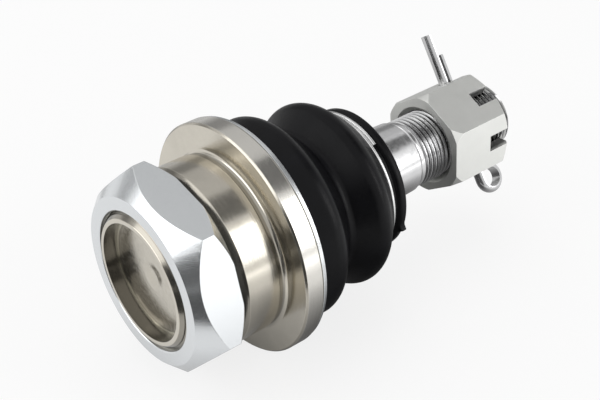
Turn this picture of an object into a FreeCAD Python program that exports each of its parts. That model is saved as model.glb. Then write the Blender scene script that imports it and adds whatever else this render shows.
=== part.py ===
import FreeCAD, Part
import math
import os
import Sketcher

# A suspension ball joint lying on its side, as it stands in a catalogue view.
# The stud axis is X, from the clamp nut (-X) to the castle nut (+X). +Z is up.
# The origin is the centre of the ball, which sits on the barrel's own axis.

# Driving dimensions in millimetres and degrees
DRIVING = {
    # ball, neck and stud
    "ball_radius": 13.0,
    "ball_flat_depth": 1.3,
    "neck_radius": 6.8,
    "neck_end": 18.5,
    "flare_end": 29.0,
    "boot_journal_radius": 11.3,
    "boot_journal_end": 44.0,
    "taper_small_radius": 10.5,
    "taper_end": 63.6,
    "thread_relief_radius": 9.65,
    "thread_relief_width": 0.8,
    "thread_relief_chamfer": 0.25,
    "stud_thread_radius": 10.0,
    "stud_end": 100.6,
    "stud_end_chamfer": 1.3,
    # housing, outside
    "housing_end": -23.2,
    "clamp_thread_wall": 3.35,
    "clamp_thread_chamfer": 0.7,
    "housing_end_chamfer": 1.9,
    "clamp_relief_depth": 1.05,
    "clamp_relief_width": 1.5,
    "shoulder": -9.7,
    "barrel_radius": 24.45,
    "barrel_chamfer": 1.7,
    "barrel_end": 1.7,
    "root_groove_width": 1.2,
    "root_groove_depth": 0.55,
    "root_fillet": 1.3,
    "flange_front": 4.2,
    "flange_overhang": 8.2,
    "flange_thickness": 5.6,
    "flange_chamfer": 0.5,
    "collar_radius": 23.8,
    "collar_end": 14.2,
    # bearing pack, outwards from the ball
    "bearing_clearance": 0.05,
    "seat_wall": 2.45,
    "seat_floor": 2.2,
    "seat_rim": 0.82,
    "seat_opening_radius": 10.9,
    "bearing_split": 0.3,
    "washer_thickness": 0.9,
    "washer_hole_radius": 3.0,
    "spring_thickness": 0.7,
    "spring_free_space": 1.3,
    "spring_inner_radius": 6.5,
    "seal_thickness": 0.7,
    "seal_clearance": 0.05,
    "side_clearance": 0.1,
    # housing, inside
    "lip_step": 0.35,
    "cover_step": 0.45,
    "mouth_small_radius": 11.5,
    "mouth_large_radius": 14.0,
    # cover plate
    "cover_thickness": 2.2,
    "cover_rim_width": 0.9,
    "cover_rim_height": 0.45,
    "cover_dish_width": 1.6,
    "dimple_radius": 3.6,
    "dimple_depth": 0.8,
    # clamp nut
    "clamp_nut_width": 50.0,
    "clamp_nut_front": -22.6,
    "clamp_nut_gap": 0.15,
    "clamp_nut_face_radius": 22.8,
    "clamp_nut_rear_radius": 25.5,
    "clamp_nut_bore_chamfer": 0.3,
    "clamp_nut_angle": 131.8,
    "thread_clearance": 0.05,
    # steel rings at the foot of the boot
    "ring_sheet": 0.65,
    "support_ring_inset": 0.3,
    "retaining_ring_inset": 0.5,
    "ring_gap": 0.12,
    # boot
    "foot_wall": 2.7,
    "foot_height": 2.6,
    "boot_wall": 1.9,
    "waist_wall": 2.5,
    "bellow_one_radius": 28.25,
    "bellow_one_start": 18.0,
    "bellow_one_end": 20.6,
    "waist_radius": 20.8,
    "waist_place": 28.6,
    "bellow_two_radius": 26.15,
    "bellow_two_start": 34.9,
    "bellow_two_end": 37.8,
    "bellow_rounding": 3.4,
    "waist_rounding": 1.6,
    "wire_groove_radius": 19.3,
    "wire_groove_start": 43.1,
    "wire_groove_width": 2.8,
    "lip_disc_radius": 20.4,
    "lip_disc_start": 46.6,
    "lip_disc_end": 48.6,
    "lip_disc_chamfer": 0.4,
    "lip_tip_radius": 17.0,
    "lip_tip_end": 50.2,
    # boot neck
    "bush_wall": 1.2,
    "bush_start": 33.0,
    "bush_end": 48.8,
    "bush_clearance": 0.05,
    "wire_radius": 0.62,
    "wire_merge": 0.06,
    "wire_seat": 0.05,
    # castle nut and cotter pin
    "castle_width": 27.0,
    "castle_near": 74.2,
    "castle_far": 96.0,
    "castle_near_face_radius": 14.4,
    "castle_near_chamfer": 2.6,
    "castle_far_face_radius": 12.5,
    "castle_far_chamfer": 2.5,
    "castle_bore_chamfer": 1.5,
    "castle_angle": -35.3,
    "pin_wire_radius": 1.75,
    "pin_split": 0.9,
    "pin_place": 90.35,
    "pin_long_leg": 28.4,
    "pin_short_leg": 21.7,
    "pin_eye_radius": 2.9,
    "pin_eye_centre": -17.4,
    "pin_branch_radius": 2.0,
    "pin_hole_clearance": 0.3,
    "pin_slot_clearance": 0.7,
    "pin_slot_floor_gap": 0.1,
    # how far a cutting outline reaches past the piece it cuts
    "cut_margin": 2.0,
}

# Corner radius of a hexagon over its width across the flats
CORNER_OVER_WIDTH = 1 / math.sqrt(3)


class Size:
    """A length or angle with its value and the sheet expression behind it."""

    def __init__(self, value, text):
        self.value = float(value)
        self.text = text

    def joined(self, other, sign, value):
        return Size(value, "(%s %s %s)" % (self.text, sign, other.text))

    def __add__(self, other):
        other = as_size(other)
        return self.joined(other, "+", self.value + other.value)

    def __radd__(self, other):
        return as_size(other) + self

    def __sub__(self, other):
        other = as_size(other)
        return self.joined(other, "-", self.value - other.value)

    def __rsub__(self, other):
        return as_size(other) - self

    def __mul__(self, other):
        other = as_size(other)
        return self.joined(other, "*", self.value * other.value)

    def __rmul__(self, other):
        return as_size(other) * self

    def __truediv__(self, other):
        other = as_size(other)
        return self.joined(other, "/", self.value / other.value)

    def __neg__(self):
        return as_size(0) - self

    def root(self):
        return Size(math.sqrt(self.value), "sqrt(%s)" % self.text)


def as_size(number):
    if isinstance(number, Size):
        return number
    return Size(number, "%.9f" % number if number >= 0 else "(0 - %.9f)" % -number)


def chord_radius(sphere_radius, place):
    """Radius of the circle that a plane at this place cuts from a sphere about the origin."""
    return (sphere_radius * sphere_radius - place * place).root()


doc = FreeCAD.newDocument("BallJoint")
sheet = doc.addObject("Spreadsheet::Sheet", "Sizes")


def fill_sheet():
    """Writes each driving dimension into a cell of its own and gives the named sizes."""
    sizes = {}
    for row, (alias, value) in enumerate(DRIVING.items(), start=1):
        sheet.set("A%d" % row, alias)
        sheet.set("B%d" % row, "%g" % value)
        sheet.setAlias("B%d" % row, alias)
        sizes[alias] = Size(value, "Sizes.%s" % alias)
    doc.recompute()
    return sizes


SIZE = fill_sheet()


class Dimensions:
    """The named sizes as attributes."""


D = Dimensions()
for alias, size in SIZE.items():
    setattr(D, alias, size)


def new_body(name):
    body = doc.addObject("PartDesign::Body", name)
    body.Label = name
    return body


def origin_plane(body, role):
    for feature in body.Origin.OriginFeatures:
        if feature.Role == role:
            return feature
    raise ValueError("no origin plane " + role)


def new_sketch(body, name, role="XY_Plane"):
    sketch = body.newObject("Sketcher::SketchObject", name)
    sketch.AttachmentSupport = [(origin_plane(body, role), "")]
    sketch.MapMode = "FlatFace"
    return sketch


def flat(point):
    return FreeCAD.Vector(point[0].value, point[1].value, 0)


def arc_between(start, end, radius):
    """Minor arc from start to end. A positive radius bulges to the right of the way."""
    first, last = flat(start), flat(end)
    chord = last - first
    left = FreeCAD.Vector(-chord.y, chord.x, 0).normalize()
    reach = math.sqrt(radius.value ** 2 - (chord.Length / 2) ** 2)
    side = 1 if radius.value > 0 else -1
    centre = (first + last) * 0.5 + left * (reach * side)
    circle = Part.Circle(centre, FreeCAD.Vector(0, 0, 1), abs(radius.value))
    ends = (first, last) if side > 0 else (last, first)
    angles = [math.atan2(end.y - centre.y, end.x - centre.x) for end in ends]
    return Part.ArcOfCircle(circle, angles[0], angles[1])


def fix_distance(sketch, kind, index, corner, size):
    """Ties one coordinate of a corner to the sheet, or lays it on the axis where it is zero."""
    if size.text == "0.000000000":
        axis = -2 if kind == "DistanceX" else -1
        sketch.addConstraint(Sketcher.Constraint("PointOnObject", index, corner, axis))
        return
    number = sketch.addConstraint(Sketcher.Constraint(kind, -1, 1, index, corner, size.value))
    sketch.setExpression("Constraints[%d]" % number, size.text)


def draw_outline(sketch, points, arcs=None):
    """Adds a closed outline. arcs maps a side's number to the radius of its arc."""
    arcs = arcs or {}
    points = [(as_size(across), as_size(up)) for across, up in points]
    first = sketch.GeometryCount
    reversed_sides = set()
    for number, start in enumerate(points):
        end = points[(number + 1) % len(points)]
        if number in arcs:
            sketch.addGeometry(arc_between(start, end, arcs[number]), False)
            if arcs[number].value < 0:
                reversed_sides.add(number)
        else:
            sketch.addGeometry(Part.LineSegment(flat(start), flat(end)), False)
    for number, start in enumerate(points):
        before = (number - 1) % len(points)
        head = 2 if number in reversed_sides else 1
        tail = 1 if before in reversed_sides else 2
        sketch.addConstraint(
            Sketcher.Constraint("Coincident", first + before, tail, first + number, head))
        fix_distance(sketch, "DistanceX", first + number, head, start[0])
        fix_distance(sketch, "DistanceY", first + number, head, start[1])
    for number, radius in arcs.items():
        length = -radius if radius.value < 0 else radius
        index = sketch.addConstraint(
            Sketcher.Constraint("Radius", first + number, abs(radius.value)))
        sketch.setExpression("Constraints[%d]" % index, length.text)


def draw_path(sketch, points, arcs):
    """Adds an open path. arcs maps a span's number to the radius of its arc."""
    points = [(as_size(across), as_size(up)) for across, up in points]
    reversed_spans = set()
    for number in range(len(points) - 1):
        start, end = points[number], points[number + 1]
        if number in arcs:
            sketch.addGeometry(arc_between(start, end, arcs[number]), False)
            if arcs[number].value < 0:
                reversed_spans.add(number)
        else:
            sketch.addGeometry(Part.LineSegment(flat(start), flat(end)), False)
    for number in range(len(points) - 1):
        head = 2 if number in reversed_spans else 1
        fix_distance(sketch, "DistanceX", number, head, points[number][0])
        fix_distance(sketch, "DistanceY", number, head, points[number][1])
        if number:
            tail = 1 if number - 1 in reversed_spans else 2
            sketch.addConstraint(
                Sketcher.Constraint("Coincident", number - 1, tail, number, head))
    last = len(points) - 2
    tail = 1 if last in reversed_spans else 2
    fix_distance(sketch, "DistanceX", last, tail, points[-1][0])
    fix_distance(sketch, "DistanceY", last, tail, points[-1][1])
    for number, radius in arcs.items():
        length = -radius if radius.value < 0 else radius
        index = sketch.addConstraint(Sketcher.Constraint("Radius", number, abs(radius.value)))
        sketch.setExpression("Constraints[%d]" % index, length.text)


def revolved(body, points, arcs=None, name="Profile"):
    """Solid of revolution about X from an outline of (place along X, radius) points."""
    sketch = new_sketch(body, body.Label + name)
    draw_outline(sketch, points, arcs)
    solid = body.newObject("PartDesign::Revolution", body.Label + "Turned")
    solid.Profile = sketch
    solid.ReferenceAxis = (sketch, ["H_Axis"])
    solid.Angle = 360
    doc.recompute()
    return solid


def grooved(body, outlines, name):
    """Cuts outlines of (place along X, radius) points out of the body all the way round X."""
    sketch = new_sketch(body, body.Label + name)
    for points in outlines:
        draw_outline(sketch, points)
    cut = body.newObject("PartDesign::Groove", body.Label + name + "Cut")
    cut.Profile = sketch
    cut.ReferenceAxis = (sketch, ["H_Axis"])
    cut.Angle = 360
    doc.recompute()
    check_cut(body, cut)
    return cut


def check_cut(body, cut):
    """Stops if a cut took nothing away."""
    if cut.Shape.Volume > cut.BaseFeature.Shape.Volume - 0.01:
        raise ValueError("%s: %s cuts nothing" % (body.Label, cut.Label))


def ring_edge(shape, place, radius):
    """Name of the circular edge about X with this place and radius."""
    for number, edge in enumerate(shape.Edges, start=1):
        curve = edge.Curve
        if not isinstance(curve, Part.Circle):
            continue
        near = abs(curve.Center.x - place.value) < 0.02 and abs(curve.Radius - radius.value) < 0.02
        if near and abs(curve.Axis.x) > 0.99:
            return "Edge%d" % number
    raise ValueError("no ring edge at %.2f, radius %.2f" % (place.value, radius.value))


def rounded(body, corners, radius, name):
    """Fillets the circular edges at these (place, radius) corners."""
    base = body.Tip
    fillet = body.newObject("PartDesign::Fillet", body.Label + name)
    fillet.Base = (base, [ring_edge(base.Shape, place, ring) for place, ring in corners])
    fillet.Radius = radius.value
    fillet.setExpression("Radius", radius.text)
    doc.recompute()
    return fillet


def hexagon_points(across_flats):
    """Corners of a hexagon in the plane across X, the first one towards +Y."""
    corner_radius = across_flats * CORNER_OVER_WIDTH
    angles = [math.radians(60 * number) for number in range(6)]
    return [(corner_radius * math.cos(angle), corner_radius * math.sin(angle)) for angle in angles]


def padded_hexagon(body, across_flats, start, end):
    """Hexagonal prism along X from start to end, with a flat's middle on +Z."""
    sketch = new_sketch(body, body.Label + "Hexagon", "YZ_Plane")
    draw_outline(sketch, hexagon_points(across_flats))
    sketch.AttachmentOffset = FreeCAD.Placement(FreeCAD.Vector(0, 0, start.value), FreeCAD.Rotation())
    sketch.setExpression("AttachmentOffset.Base.z", start.text)
    pad = body.newObject("PartDesign::Pad", body.Label + "Pad")
    pad.Profile = sketch
    pad.Length = (end - start).value
    pad.setExpression("Length", (end - start).text)
    doc.recompute()
    return pad


def cut_through(body, sketch, name):
    """Cuts a sketch through the whole body, to both sides of its plane."""
    cut = body.newObject("PartDesign::Pocket", body.Label + name)
    cut.Profile = sketch
    cut.Type = "ThroughAll"
    cut.Midplane = True
    doc.recompute()
    check_cut(body, cut)
    return cut


def turn_about_stud_axis(body, angle):
    """Turns a finished body about X."""
    body.Placement = FreeCAD.Placement(
        FreeCAD.Vector(), FreeCAD.Rotation(FreeCAD.Vector(1, 0, 0), angle.value))
    body.setExpression("Placement.Rotation.Angle", angle.text)


# Places and radii that several pieces share

socket_radius = D.ball_radius + D.bearing_clearance
seat_outer_radius = socket_radius + D.seat_wall
seat_opening_place = chord_radius(socket_radius, D.seat_opening_radius)
mouth_start = seat_opening_place + D.seat_rim
washer_rear = -(chord_radius(socket_radius, D.washer_hole_radius) + D.seat_floor)
spring_rear = washer_rear - D.washer_thickness
cover_inner_face = spring_rear - D.spring_free_space
cover_outer_face = cover_inner_face - D.cover_thickness
seal_inner_face = cover_inner_face + D.seal_thickness
bore_radius = seat_outer_radius + D.side_clearance
lip_radius = bore_radius + D.lip_step
cover_hole_radius = lip_radius + D.cover_step
clamp_thread_radius = bore_radius + D.clamp_thread_wall
clamp_relief_radius = clamp_thread_radius - D.clamp_relief_depth
flange_rear = D.flange_front + D.flange_thickness
flange_radius = D.collar_radius + D.flange_overhang
foot_inner_radius = D.collar_radius + D.side_clearance
foot_radius = foot_inner_radius + D.foot_wall
support_ring_radius = flange_radius - D.support_ring_inset
retaining_ring_radius = support_ring_radius - D.retaining_ring_inset
support_ring_rear = flange_rear + D.ring_sheet
retaining_ring_front = support_ring_rear + D.ring_gap
retaining_ring_rear = retaining_ring_front + D.ring_sheet
foot_end = support_ring_rear + D.foot_height
bush_inner_radius = D.boot_journal_radius + D.bush_clearance
bush_outer_radius = bush_inner_radius + D.bush_wall
wire_groove_end = D.wire_groove_start + D.wire_groove_width
wire_groove_middle = D.wire_groove_start + D.wire_groove_width / 2
thread_start = D.taper_end + D.thread_relief_width
pin_reach = D.pin_wire_radius + D.pin_split / 2
cross_hole_radius = pin_reach + D.pin_hole_clearance
castle_slot_start = D.pin_place - pin_reach - D.pin_slot_floor_gap
castle_slot_half = D.pin_wire_radius + D.pin_slot_clearance


def make_housing():
    """Forged and turned housing: threaded end, barrel, flange and boot collar in one piece."""
    body = new_body("housing")
    thread_end = D.shoulder - D.clamp_relief_width
    shoulder_radius = D.barrel_radius - D.barrel_chamfer
    groove_radius = D.barrel_radius - D.root_groove_depth
    groove_end = D.barrel_end + D.root_groove_width
    revolved(body, [
        (D.housing_end, lip_radius),
        (D.housing_end, clamp_thread_radius - D.housing_end_chamfer),
        (D.housing_end + D.housing_end_chamfer, clamp_thread_radius),
        (thread_end - D.clamp_thread_chamfer, clamp_thread_radius),
        (thread_end, clamp_relief_radius),
        (D.shoulder, clamp_relief_radius),
        (D.shoulder, shoulder_radius),
        (D.shoulder + D.barrel_chamfer, D.barrel_radius),
        (D.barrel_end, D.barrel_radius),
        (D.barrel_end + D.root_groove_depth, groove_radius),
        (groove_end, groove_radius),
        (D.flange_front, groove_radius + D.root_fillet),
        (D.flange_front, flange_radius - D.flange_chamfer),
        (D.flange_front + D.flange_chamfer, flange_radius),
        (flange_rear - D.flange_chamfer, flange_radius),
        (flange_rear, flange_radius - D.flange_chamfer),
        (flange_rear, D.collar_radius),
        (D.collar_end, D.collar_radius),
        (D.collar_end, D.mouth_large_radius),
        (mouth_start, D.mouth_small_radius),
        (mouth_start, bore_radius),
        (seal_inner_face, bore_radius),
        (seal_inner_face, cover_hole_radius),
        (cover_outer_face, cover_hole_radius),
        (cover_outer_face, lip_radius),
    ], {10: D.root_fillet})
    return body


def make_clamp_nut():
    """Large hexagon nut on the threaded end, chamfered on both faces."""
    body = new_body("clamp_nut")
    front = D.clamp_nut_front
    rear = D.shoulder - D.clamp_nut_gap
    before = front - D.cut_margin
    behind = rear + D.cut_margin
    padded_hexagon(body, D.clamp_nut_width, front, rear)
    beyond = D.clamp_nut_width * CORNER_OVER_WIDTH + D.cut_margin
    grooved(body, [
        [(before, D.clamp_nut_face_radius), (before, beyond),
         (front + beyond - D.clamp_nut_face_radius, beyond), (front, D.clamp_nut_face_radius)],
        [(behind, D.clamp_nut_rear_radius), (rear, D.clamp_nut_rear_radius),
         (rear - beyond + D.clamp_nut_rear_radius, beyond), (behind, beyond)],
    ], "Chamfers")
    bore = clamp_thread_radius + D.thread_clearance
    mouth = bore + D.clamp_nut_bore_chamfer
    grooved(body, [[
        (before, 0), (behind, 0), (behind, bore), (front + D.clamp_nut_bore_chamfer, bore),
        (front, mouth), (before, mouth),
    ]], "Bore")
    turn_about_stud_axis(body, D.clamp_nut_angle)
    return body


def make_cover_plate():
    """Steel cover held in the housing's end, with a raised rim and a centre dimple."""
    body = new_body("cover_plate")
    rim_outer = cover_hole_radius - D.side_clearance
    rim_inner = rim_outer - D.cover_rim_width
    sunk_face = cover_outer_face + D.cover_rim_height
    revolved(body, [
        (sunk_face + D.dimple_depth, 0),
        (sunk_face, D.dimple_radius),
        (sunk_face, rim_inner - D.cover_dish_width),
        (cover_outer_face, rim_inner),
        (cover_outer_face, rim_outer),
        (cover_inner_face, rim_outer),
        (cover_inner_face, 0),
    ])
    return body


def make_cover_seal():
    """Flat rubber ring between the cover plate and the housing's step."""
    body = new_body("cover_seal")
    inner = bore_radius + D.side_clearance
    outer = cover_hole_radius - D.seal_clearance
    revolved(body, [
        (cover_inner_face, inner),
        (cover_inner_face, outer),
        (seal_inner_face, outer),
        (seal_inner_face, inner),
    ])
    return body


def make_preload_spring():
    """Dished spring washer that presses the bearing pack onto the ball."""
    body = new_body("preload_spring")
    outer = seat_outer_radius
    revolved(body, [
        (cover_inner_face, outer),
        (cover_inner_face + D.spring_thickness, outer),
        (spring_rear, D.spring_inner_radius + D.spring_thickness),
        (spring_rear, D.spring_inner_radius),
        (spring_rear - D.spring_thickness, D.spring_inner_radius),
    ])
    return body


def make_thrust_washer():
    """Steel washer between the spring and the lower bearing seat."""
    body = new_body("thrust_washer")
    revolved(body, [
        (spring_rear, D.washer_hole_radius),
        (spring_rear, seat_outer_radius),
        (washer_rear, seat_outer_radius),
        (washer_rear, D.washer_hole_radius),
    ])
    return body


def make_lower_bearing_seat():
    """Plastic cup under the ball."""
    body = new_body("lower_bearing_seat")
    rim = -D.bearing_split
    revolved(body, [
        (washer_rear, D.washer_hole_radius),
        (washer_rear, seat_outer_radius),
        (rim, seat_outer_radius),
        (rim, chord_radius(socket_radius, rim)),
        (-chord_radius(socket_radius, D.washer_hole_radius), D.washer_hole_radius),
    ], {3: socket_radius})
    return body


def make_upper_bearing_seat():
    """Plastic ring over the ball, open for the stud's neck."""
    body = new_body("upper_bearing_seat")
    rim = D.bearing_split
    revolved(body, [
        (rim, seat_outer_radius),
        (mouth_start, seat_outer_radius),
        (mouth_start, D.seat_opening_radius),
        (seat_opening_place, D.seat_opening_radius),
        (rim, chord_radius(socket_radius, rim)),
    ], {3: socket_radius})
    return body


def make_ball_stud():
    """Ball, neck, boot journal, taper and threaded end in one piece, with the pin's cross hole."""
    body = new_body("ball_stud")
    flat_place = -(D.ball_radius - D.ball_flat_depth)
    neck_place = chord_radius(D.ball_radius, D.neck_radius)
    chamfer = D.stud_end_chamfer
    revolved(body, [
        (flat_place, 0),
        (flat_place, chord_radius(D.ball_radius, flat_place)),
        (0, D.ball_radius),
        (neck_place, D.neck_radius),
        (D.neck_end, D.neck_radius),
        (D.flare_end, D.boot_journal_radius),
        (D.boot_journal_end, D.boot_journal_radius),
        (D.taper_end, D.taper_small_radius),
        (D.taper_end + D.thread_relief_chamfer, D.thread_relief_radius),
        (thread_start - D.thread_relief_chamfer, D.thread_relief_radius),
        (thread_start, D.stud_thread_radius),
        (D.stud_end - chamfer, D.stud_thread_radius),
        (D.stud_end, D.stud_thread_radius - chamfer),
        (D.stud_end, 0),
    ], {1: -D.ball_radius, 2: -D.ball_radius})
    rounded(body, [(D.neck_end, D.neck_radius)], D.neck_radius, "NeckFillet")
    sketch = new_sketch(body, "ball_studHole", "XY_Plane")
    circle = Part.Circle(
        FreeCAD.Vector(D.pin_place.value, 0, 0), FreeCAD.Vector(0, 0, 1), cross_hole_radius.value)
    sketch.addGeometry(circle, False)
    fix_distance(sketch, "DistanceX", 0, 3, D.pin_place)
    sketch.addConstraint(Sketcher.Constraint("PointOnObject", 0, 3, -1))
    number = sketch.addConstraint(Sketcher.Constraint("Radius", 0, cross_hole_radius.value))
    sketch.setExpression("Constraints[%d]" % number, cross_hole_radius.text)
    cut_through(body, sketch, "CrossHole")
    turn_about_stud_axis(body, D.castle_angle)
    return body


def make_boot_support_ring():
    """Flat steel ring against the flange's rear face."""
    body = new_body("boot_support_ring")
    revolved(body, [
        (flange_rear, D.collar_radius + D.side_clearance),
        (flange_rear, support_ring_radius),
        (support_ring_rear, support_ring_radius),
        (support_ring_rear, D.collar_radius + D.side_clearance),
    ])
    return body


def make_boot_retaining_ring():
    """Steel ring with a short sleeve that holds the foot of the boot."""
    body = new_body("boot_retaining_ring")
    inner = foot_radius + D.side_clearance
    sleeve = inner + D.ring_sheet
    sleeve_end = foot_end - D.side_clearance
    revolved(body, [
        (retaining_ring_front, inner),
        (retaining_ring_front, retaining_ring_radius),
        (retaining_ring_rear, retaining_ring_radius),
        (retaining_ring_rear, sleeve),
        (sleeve_end, sleeve),
        (sleeve_end, inner),
    ])
    return body


def make_boot():
    """Rubber boot with two bellows, a foot on the collar and a lip round the bush."""
    body = new_body("boot")
    wall = D.boot_wall
    groove_wall_radius = D.wire_groove_radius + wall
    crown_one = [(D.bellow_one_start, D.bellow_one_radius), (D.bellow_one_end, D.bellow_one_radius)]
    waist = (D.waist_place, D.waist_radius)
    crown_two = [(D.bellow_two_start, D.bellow_two_radius), (D.bellow_two_end, D.bellow_two_radius)]
    inner_crown_one = [(place, radius - wall) for place, radius in reversed(crown_one)]
    inner_waist = (D.waist_place, D.waist_radius - D.waist_wall)
    inner_crown_two = [(place, radius - wall) for place, radius in reversed(crown_two)]
    revolved(body, [
        (support_ring_rear, foot_inner_radius),
        (support_ring_rear, foot_radius),
        (foot_end, foot_radius),
        *crown_one,
        waist,
        *crown_two,
        (D.wire_groove_start, groove_wall_radius),
        (D.wire_groove_start, D.wire_groove_radius),
        (wire_groove_end, D.wire_groove_radius),
        (D.lip_disc_start, D.lip_disc_radius),
        (D.lip_disc_end - D.lip_disc_chamfer, D.lip_disc_radius),
        (D.lip_disc_end, D.lip_disc_radius - D.lip_disc_chamfer),
        (D.lip_disc_end, D.lip_tip_radius),
        (D.lip_tip_end, D.lip_tip_radius),
        (D.lip_tip_end, bush_outer_radius),
        (D.wire_groove_start - wall, bush_outer_radius),
        *inner_crown_two,
        inner_waist,
        *inner_crown_one,
        (foot_end, foot_inner_radius),
    ])
    rounded(body, crown_one + crown_two, D.bellow_rounding, "BellowRounding")
    rounded(body, [waist], D.waist_rounding, "WaistRounding")
    rounded(body, inner_crown_one + inner_crown_two, D.bellow_rounding - wall, "InnerRounding")
    rounded(body, [inner_waist], D.waist_rounding + wall, "InnerWaistRounding")
    return body


def make_boot_wire_ring():
    """Wire ring of two turns side by side in the boot's neck groove."""
    body = new_body("boot_wire_ring")
    wire = D.wire_radius
    mean_radius = D.wire_groove_radius + D.wire_seat + wire
    pitch = wire * 2 - D.wire_merge
    first = wire_groove_middle - pitch / 2
    last = wire_groove_middle + pitch / 2
    crossing = (wire * wire - pitch * pitch / 4).root()
    corners = [
        (first - wire, mean_radius),
        (first, mean_radius - wire),
        (wire_groove_middle, mean_radius - crossing),
        (last, mean_radius - wire),
        (last + wire, mean_radius),
        (last, mean_radius + wire),
        (wire_groove_middle, mean_radius + crossing),
        (first, mean_radius + wire),
    ]
    revolved(body, corners, {number: wire for number in range(len(corners))})
    return body


def make_boot_neck_bush():
    """Plastic sleeve on the stud's journal that the neck of the boot grips."""
    body = new_body("boot_neck_bush")
    revolved(body, [
        (D.bush_start, bush_inner_radius),
        (D.bush_start, bush_outer_radius),
        (D.bush_end, bush_outer_radius),
        (D.bush_end, bush_inner_radius),
    ])
    return body


def make_castle_nut():
    """Hexagon nut with six slots in its far end for the cotter pin."""
    body = new_body("castle_nut")
    near = D.castle_near
    far = D.castle_far
    before = near - D.cut_margin
    behind = far + D.cut_margin
    padded_hexagon(body, D.castle_width, near, far)
    corner = D.castle_width * CORNER_OVER_WIDTH
    beyond = corner + D.cut_margin
    near_face = D.castle_near_face_radius
    far_face = D.castle_far_face_radius
    near_reach = D.castle_near_chamfer * (beyond - near_face) / (corner - near_face)
    far_reach = D.castle_far_chamfer * (beyond - far_face) / (corner - far_face)
    grooved(body, [
        [(before, near_face), (before, beyond), (near + near_reach, beyond), (near, near_face)],
        [(behind, far_face), (far, far_face), (far - far_reach, beyond), (behind, beyond)],
    ], "Chamfers")
    bore = D.stud_thread_radius + D.thread_clearance
    mouth = bore + D.castle_bore_chamfer
    grooved(body, [[
        (before, 0), (behind, 0), (behind, bore), (near + D.castle_bore_chamfer, bore),
        (near, mouth), (before, mouth),
    ]], "Bore")
    slot = new_sketch(body, "castle_nutSlot", "XY_Plane")
    draw_outline(slot, [
        (castle_slot_start, -castle_slot_half), (behind, -castle_slot_half),
        (behind, castle_slot_half), (castle_slot_start, castle_slot_half),
    ])
    first_slot = cut_through(body, slot, "SlotPair")
    pattern = body.newObject("PartDesign::PolarPattern", "castle_nutSlots")
    pattern.Originals = [first_slot]
    pattern.Axis = (origin_plane(body, "X_Axis"), [""])
    pattern.Angle = 120
    pattern.Occurrences = 3
    body.Tip = pattern
    doc.recompute()
    turn_about_stud_axis(body, D.castle_angle)
    return body


def make_cotter_pin():
    """Half-round wire folded into an eye and two legs, the legs through the stud."""
    body = new_body("cotter_pin")
    wire = D.pin_wire_radius
    eye = D.pin_eye_radius
    near_leg = D.pin_place - D.pin_split / 2
    far_leg = D.pin_place + D.pin_split / 2
    eye_across = near_leg + eye
    branch_across = far_leg + D.pin_branch_radius
    offset = branch_across - eye_across
    span = eye + D.pin_branch_radius
    branch_up = D.pin_eye_centre + (span * span - offset * offset).root()
    touch = eye / span
    touch_across = eye_across + offset * touch
    touch_up = D.pin_eye_centre + (branch_up - D.pin_eye_centre) * touch
    path = new_sketch(body, "cotter_pinPath", "XZ_Plane")
    draw_path(path, [
        (near_leg, D.pin_long_leg),
        (near_leg, D.pin_eye_centre),
        (eye_across, D.pin_eye_centre - eye),
        (eye_across + eye, D.pin_eye_centre),
        (touch_across, touch_up),
        (far_leg, branch_up),
        (far_leg, D.pin_short_leg),
    ], {1: eye, 2: eye, 3: eye, 4: -D.pin_branch_radius})
    section = new_sketch(body, "cotter_pinSection", "XY_Plane")
    section.AttachmentOffset = FreeCAD.Placement(
        FreeCAD.Vector(0, 0, D.pin_long_leg.value), FreeCAD.Rotation())
    section.setExpression("AttachmentOffset.Base.z", D.pin_long_leg.text)
    draw_outline(section, [
        (near_leg, wire), (near_leg - wire, 0), (near_leg, -wire),
    ], {0: wire, 1: wire})
    pipe = body.newObject("PartDesign::AdditivePipe", "cotter_pinSweep")
    pipe.Profile = section
    pipe.Spine = (path, [])
    pipe.Mode = "Standard"
    doc.recompute()
    turn_about_stud_axis(body, D.castle_angle)
    return body


def check_everything(bodies):
    """Stops if any object of the document failed, or a finished shape isn't one valid solid."""
    for item in doc.Objects:
        if "Invalid" in item.State or "Error" in item.State:
            raise ValueError("%s failed: %s" % (item.Label, item.State))
    for body in bodies:
        if body.Shape.isNull() or not body.Shape.isValid() or len(body.Shape.Solids) != 1:
            raise ValueError("%s is not one valid solid" % body.Label)


def main():
    bodies = [
        make_housing(), make_clamp_nut(), make_cover_plate(), make_cover_seal(),
        make_preload_spring(), make_thrust_washer(), make_lower_bearing_seat(),
        make_upper_bearing_seat(), make_ball_stud(), make_boot_support_ring(),
        make_boot_retaining_ring(), make_boot(), make_boot_wire_ring(), make_boot_neck_bush(),
        make_castle_nut(), make_cotter_pin(),
    ]
    doc.recompute()
    check_everything(bodies)
    os.makedirs("parts", exist_ok=True)
    for body in bodies:
        body.Shape.exportStep("parts/%s.step" % body.Label)


main()
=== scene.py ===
"""Dresses a suspension ball joint: turned housing, nuts, threads, rubber boot, wire ring and cotter pin."""

import math

import bmesh
import bpy
from bpy.props import FloatProperty, FloatVectorProperty, IntProperty, PointerProperty
from mathutils import Matrix, Vector


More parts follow.
